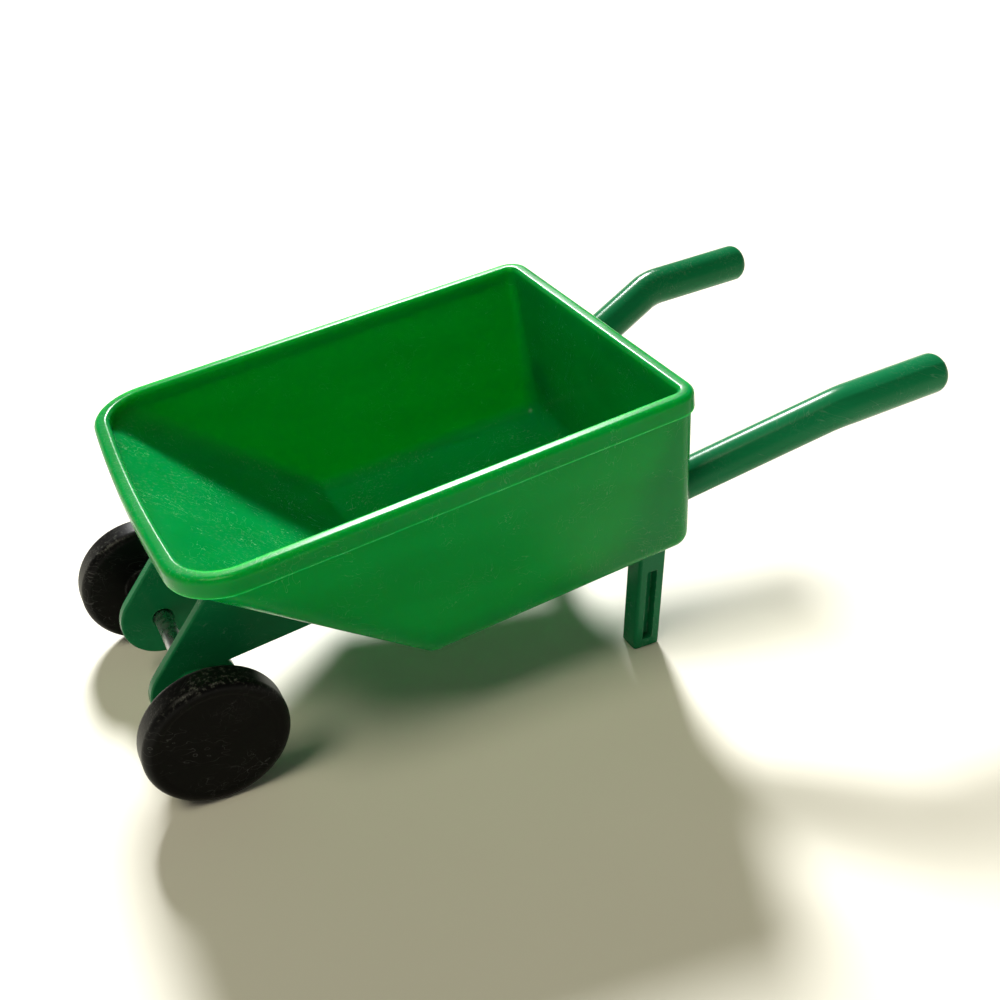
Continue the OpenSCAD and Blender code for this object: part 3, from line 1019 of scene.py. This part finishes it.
def bore_cutter():
    bore, wide = AXLE_R + AXLE_CLEAR, AXLE_R + AXLE_CLEAR + BORE_FLARE
    low, high = (BRACKET_GAP - PLATE_T) / 2, (BRACKET_GAP + PLATE_T) / 2 + BOSS_LEN
    outline = [(0, low - CUT_PAST), (wide, low - CUT_PAST), (wide, low), (bore, low + BORE_FLARE),
               (bore, high - BORE_FLARE), (wide, high), (wide, high + CUT_PAST),
               (0, high + CUT_PAST)]
    return turned(outline, (AXLE_AHEAD, 0, axle_z), (0, 1, 0))


def bracket_shape():
    low, high = (BRACKET_GAP - PLATE_T) / 2, (BRACKET_GAP + PLATE_T) / 2
    plate = slab(plate_outline(), low, high, PLATE_EDGE, on_plate)
    fused = combined(plate, [boss_solid(), flange_solid()], "UNION")
    return combined(fused, [bore_cutter()], "DIFFERENCE")


for name, mirrored in (("left", False), ("right", True)):
    piece(f"bracket_plate_{name}", bracket_shape(), FRAME_GREEN, "barrow",
          [f"bracket_{name}"], mirrored)

# %% [markdown]
# ## The wheels and the axle
#
# The wheels are solid discs with rounded shoulders and a boss on the inside,
# pressed onto the ends of the axle, which they cover. All three are turned
# shapes. A wheel's outer face is very slightly dished inside a narrow edge, as
# thick plastic draws in when it cools, and has a small dimple in the middle
# where the mould was filled.

# %% Wheels
HUB_GAP = 0.4
WHEEL_W, SHOULDER_R, HUB_CAP = 4.2, 1.1, 1.2
HUB_EDGE, HUB_BORE_EDGE = 0.2, 0.15
FACE_EDGE, FACE_SINK = 0.5, 0.12
FACE_LIP = ((0.2, 0.0), (0.0, 0.048), (-0.3, FACE_SINK))
DIMPLE = ((0.8, 0.0), (0.56, 0.105), (0.28, 0.15), (0.0, 0.15))
WHEEL_SIDES, SHOULDER_STEPS = 96, 8

track_half = wheel_high.y / MM
wheel_in = track_half - WHEEL_W
hub_start = (BRACKET_GAP + PLATE_T) / 2 + BOSS_LEN + HUB_GAP


def shoulder(y, start):
    """A quarter turn of the tread's edge, from start degrees, about height y."""
    angles = (math.radians(start + i * 90 / SHOULDER_STEPS) for i in range(SHOULDER_STEPS + 1))
    return [(wheel_r - SHOULDER_R + SHOULDER_R * math.cos(a), y + SHOULDER_R * math.sin(a))
            for a in angles]


def wheel_outline():
    """FACE_LIP and DIMPLE are radius and depth pairs. The lip's radii are added to face_r."""
    face_r = wheel_r - SHOULDER_R - FACE_EDGE
    outline = [(0, hub_start + WHEEL_W), (AXLE_R, hub_start + WHEEL_W),
               (AXLE_R, hub_start + HUB_BORE_EDGE), (AXLE_R + HUB_BORE_EDGE, hub_start),
               (HUB_R - HUB_EDGE, hub_start), (HUB_R, hub_start + HUB_EDGE),
               (HUB_R, wheel_in - FILLET), (HUB_R + FILLET_MID, wheel_in - FILLET_MID),
               (HUB_R + FILLET, wheel_in)]
    outline += shoulder(wheel_in + SHOULDER_R, -90)
    outline += shoulder(track_half - SHOULDER_R, 0)
    outline += [(face_r + out, track_half - deep) for out, deep in FACE_LIP]
    outline += [(radius, track_half - FACE_SINK - deep) for radius, deep in DIMPLE]
    return outline


for name, mirrored in (("left", False), ("right", True)):
    shape = welded(turned(wheel_outline(), (AXLE_AHEAD, 0, axle_z), (0, 1, 0), WHEEL_SIDES))
    piece(f"wheel_disc_{name}", shape, WHEEL_BLACK, "wheelset",
          [f"wheel_{name}"], mirrored)

# %% Axle
AXLE_CHAMFER, AXLE_SIDES = 0.2, 40

axle_half = track_half - HUB_CAP
pin_outline = [(0, -axle_half), (AXLE_R - AXLE_CHAMFER, -axle_half),
               (AXLE_R, AXLE_CHAMFER - axle_half), (AXLE_R, -hub_start), (AXLE_R, hub_start),
               (AXLE_R, axle_half - AXLE_CHAMFER), (AXLE_R - AXLE_CHAMFER, axle_half),
               (0, axle_half)]
pin = welded(turned(pin_outline, (AXLE_AHEAD, 0, axle_z), (0, 1, 0), AXLE_SIDES))
piece("axle_pin", pin, AXLE_STEEL, "wheelset", ["axle"])

# %% [markdown]
# ## Floor, light and camera
#
# The barrow stands on a plain cream board that the light all but bleaches. The
# main light comes low over the barrow's right side, so the walls that face the
# camera are lit through the plastic, the rim's rounded edges catch a bright
# line, and the shadow falls towards the camera. A second light above the wheels
# softens it. Both are suns as wide as a window or a ceiling seems from below,
# because a sun lights the whole board evenly where a panel would fade. The sky
# is bright only near the horizon, where it reaches upright walls but hardly
# touches the floor.

# %% Floor
FLOOR_SIZE = 6.0
BOARD_LOW, BOARD_HIGH, BOARD_ROUGH = (0.77, 0.74, 0.64), (0.81, 0.78, 0.68), 0.6
BOARD_CLOUD_MM = 30.0


def board():
    material = bpy.data.materials.new("cream board")
    material.use_nodes = True
    tree = material.node_tree
    shader = tree.nodes["Principled BSDF"]
    tone = noise(tree, object_place(tree), BOARD_CLOUD_MM, 3.0)
    colour = mixed(tree, tone, (*BOARD_LOW, 1), (*BOARD_HIGH, 1))
    tree.links.new(colour, shader.inputs["Base Color"])
    shader.inputs["Roughness"].default_value = BOARD_ROUGH
    return material


bpy.ops.mesh.primitive_plane_add(size=FLOOR_SIZE)
floor = bpy.context.object
floor.name = "floor"
floor.data.materials.append(board())
floor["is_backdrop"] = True

# %% Lights
def soft_light(name, towards, spread, strength, colour):
    """Even light from one side of the room. spread is its width in degrees, as seen."""
    data = bpy.data.lights.new(name, "SUN")
    data.angle = math.radians(spread)
    data.energy = strength
    data.color = colour
    light = bpy.data.objects.new(name, data)
    bpy.context.scene.collection.objects.link(light)
    light.rotation_euler = (-Vector(towards)).to_track_quat("-Z", "Y").to_euler()


soft_light("window", towards=(-0.15, -0.61, 0.51), spread=12.7, strength=6.3,
           colour=(1.0, 1.0, 1.0))
soft_light("ceiling", towards=(0.40, 0.12, 0.75), spread=26.0, strength=1.3,
           colour=(1.0, 0.95, 0.74))

HORIZON, ZENITH = (0.80, 0.78, 0.72), (0.07, 0.068, 0.062)
HAZE_TOP = 0.3

world = bpy.data.worlds.new("pale sky")
bpy.context.scene.world = world
world.use_nodes = True
sky = world.node_tree
direction = add(sky, "ShaderNodeTexCoord").outputs["Generated"]
height = add(sky, "ShaderNodeSeparateXYZ", {0: direction}).outputs["Z"]
sky_colour = mixed(sky, ramp(sky, height, 0.0, HAZE_TOP), (*HORIZON, 1), (*ZENITH, 1))
sky.links.new(sky_colour, sky.nodes["Background"].inputs["Color"])
bpy.context.scene.view_settings.view_transform = "Standard"

# %% Camera
AZIMUTH, ELEVATION = math.radians(153.03), math.radians(32.39)
DISTANCE, LENS = 0.1670, 43.82
LOOK_AT = (14.441, -0.503, 17.559)

back = Vector((math.sin(AZIMUTH) * math.cos(ELEVATION),
               -math.cos(AZIMUTH) * math.cos(ELEVATION), math.sin(ELEVATION)))
camera_data = bpy.data.cameras.new("camera")
camera_data.lens = LENS
camera_data.clip_start = 0.005
camera = bpy.data.objects.new("camera", camera_data)
bpy.context.scene.collection.objects.link(camera)
camera.location = TO_FRAME @ Vector(LOOK_AT) + DISTANCE * back
camera.rotation_euler = (-back).to_track_quat("-Z", "Y").to_euler()
bpy.context.scene.camera = camera

# %% [markdown]
# ## The size of the visible model
#
# The visible model is meant to fill the same box as the CAD model. Both boxes are
# printed, in millimetres.

# %% Print the two boxes
visual_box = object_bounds()
for corner_cad, corner_visual in zip(cad_box, visual_box):
    print("CAD", [round(v / MM, 2) for v in corner_cad],
          "visual", [round(v / MM, 2) for v in corner_visual])
